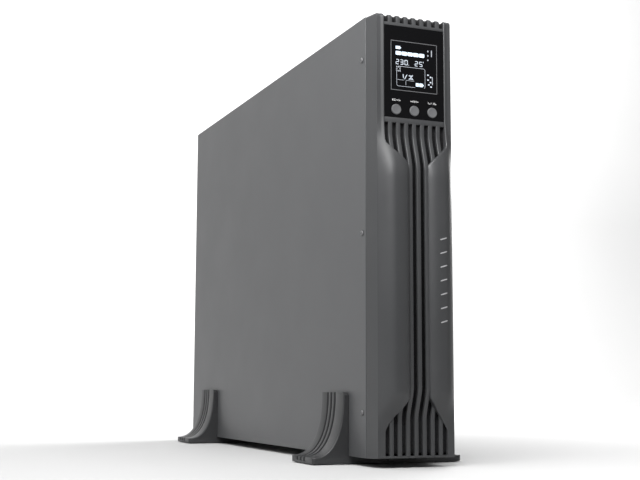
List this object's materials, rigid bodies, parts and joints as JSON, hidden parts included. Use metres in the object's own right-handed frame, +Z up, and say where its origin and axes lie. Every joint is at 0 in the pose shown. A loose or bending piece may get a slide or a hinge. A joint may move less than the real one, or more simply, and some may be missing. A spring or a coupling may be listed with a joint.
{
  "type": "uninterruptible power supply",
  "caption": "Slim dark grey backup power supply standing upright on spreading feet, with a ribbed winged front bezel, a screen with buttons at the top, and a removable battery drawer.",
  "frame": {"origin": "on the floor, under the middle of the bounding box", "axes": "+Z up, +Y from the bezel to the rear panel, +X to the right of someone facing the bezel"},
  "size_m": [0.166, 0.635, 0.4465],
  "materials": {
    "coated_steel": "fine textured powder coat, satin",
    "bezel_plastic": "fine grained moulded plastic, satin",
    "display_glass": "gloss black acrylic with a clear screen area",
    "lcd_glass": "dark screen with bluish white lit marks",
    "button_plastic": "satin grey",
    "stand_plastic": "fine grained moulded plastic",
    "pad_rubber": "matt",
    "filter_foam": "open cell foam",
    "black_plastic": "satin moulded",
    "plated_steel": "bright nickel plate",
    "zinc_steel": "zinc plate",
    "battery_plastic": "moulded case",
    "circuit_board": "solder mask",
    "terminal_green": "moulded",
    "heat_sink_aluminium": "extruded",
    "copper_winding": "lacquered copper wire",
    "red_plastic": "moulded",
    "capacitor_sleeve": "shrink sleeve"
  },
  "bodies": {
    "case": {"side_cover": "coated_steel", "chassis": "coated_steel", "front_frame": "coated_steel", "rear_panel": "coated_steel", "slot_cover": "coated_steel", "front_left_foot": "stand_plastic", "front_right_foot": "stand_plastic", "rear_left_foot": "stand_plastic", "rear_right_foot": "stand_plastic", "front_left_pad": "pad_rubber", "front_right_pad": "pad_rubber", "rear_left_pad": "pad_rubber", "rear_right_pad": "pad_rubber", "upper_outlets": "black_plastic", "lower_outlets": "black_plastic", "large_outlet": "black_plastic", "mains_inlet": "black_plastic", "input_breaker": "black_plastic", "upper_fan_housing": "black_plastic", "lower_fan_housing": "black_plastic", "charger_transformer": "black_plastic", "cover_screw_lower": "plated_steel", "cover_screw_middle": "plated_steel", "cover_screw_upper": "plated_steel", "earth_screw": "plated_steel", "upper_fan_guard": "plated_steel", "lower_fan_guard": "plated_steel", "serial_port": "zinc_steel", "usb_port": "zinc_steel", "surge_port": "zinc_steel", "power_board": "circuit_board", "shutdown_terminal": "terminal_green", "upper_heat_sink": "heat_sink_aluminium", "lower_heat_sink": "heat_sink_aluminium", "boost_inductor": "copper_winding", "battery_port": "red_plastic", "battery_socket": "red_plastic", "bus_capacitor": "capacitor_sleeve"},
    "bezel": {"bezel": "bezel_plastic", "display_window": "display_glass", "lcd_module": "lcd_glass", "display_board": "circuit_board", "air_filter": "filter_foam"},
    "select_button": {"select_button": "button_plastic"},
    "mute_button": {"mute_button": "button_plastic"},
    "power_button": {"power_button": "button_plastic"},
    "battery_drawer": {"battery_tray": "zinc_steel", "battery_door": "coated_steel", "battery_handle": "black_plastic", "battery_plug": "red_plastic", "battery_lead": "black_plastic", "battery_1": "battery_plastic", "battery_2": "battery_plastic", "battery_3": "battery_plastic", "battery_4": "battery_plastic", "battery_5": "battery_plastic", "battery_6": "battery_plastic"},
    "upper_fan_rotor": {"upper_fan_rotor": "black_plastic"},
    "lower_fan_rotor": {"lower_fan_rotor": "black_plastic"},
    "breaker_button": {"breaker_button": "black_plastic"}
  },
  "joints": [
    {"name": "battery_slide", "type": "slide", "parent": "case", "child": "battery_drawer", "axis": [0, -1, 0], "range_m": [0, 0.3]},
    {"name": "bezel_pull", "type": "slide", "parent": "case", "child": "bezel", "axis": [0, -1, 0], "range_m": [0, 0.36]},
    {"name": "select_press", "type": "slide", "parent": "bezel", "child": "select_button", "axis": [0, 1, 0], "range_m": [0, 0.001], "stiffness_N_per_m": 800},
    {"name": "mute_press", "type": "slide", "parent": "bezel", "child": "mute_button", "axis": [0, 1, 0], "range_m": [0, 0.001], "stiffness_N_per_m": 800},
    {"name": "power_press", "type": "slide", "parent": "bezel", "child": "power_button", "axis": [0, 1, 0], "range_m": [0, 0.001], "stiffness_N_per_m": 800},
    {"name": "upper_fan_spin", "type": "hinge", "parent": "case", "child": "upper_fan_rotor", "pos_m": [0, 0.297, 0.3995], "axis": [0, 1, 0], "continuous": true},
    {"name": "lower_fan_spin", "type": "hinge", "parent": "case", "child": "lower_fan_rotor", "pos_m": [0, 0.297, 0.3165], "axis": [0, 1, 0], "continuous": true},
    {"name": "breaker_trip", "type": "slide", "parent": "case", "child": "breaker_button", "axis": [0, 1, 0], "range_m": [0, 0.004]}
  ],
  "couplings": [
    {"joint": "bezel_pull", "follows": "battery_slide", "ratio": 1.2}
  ]
}
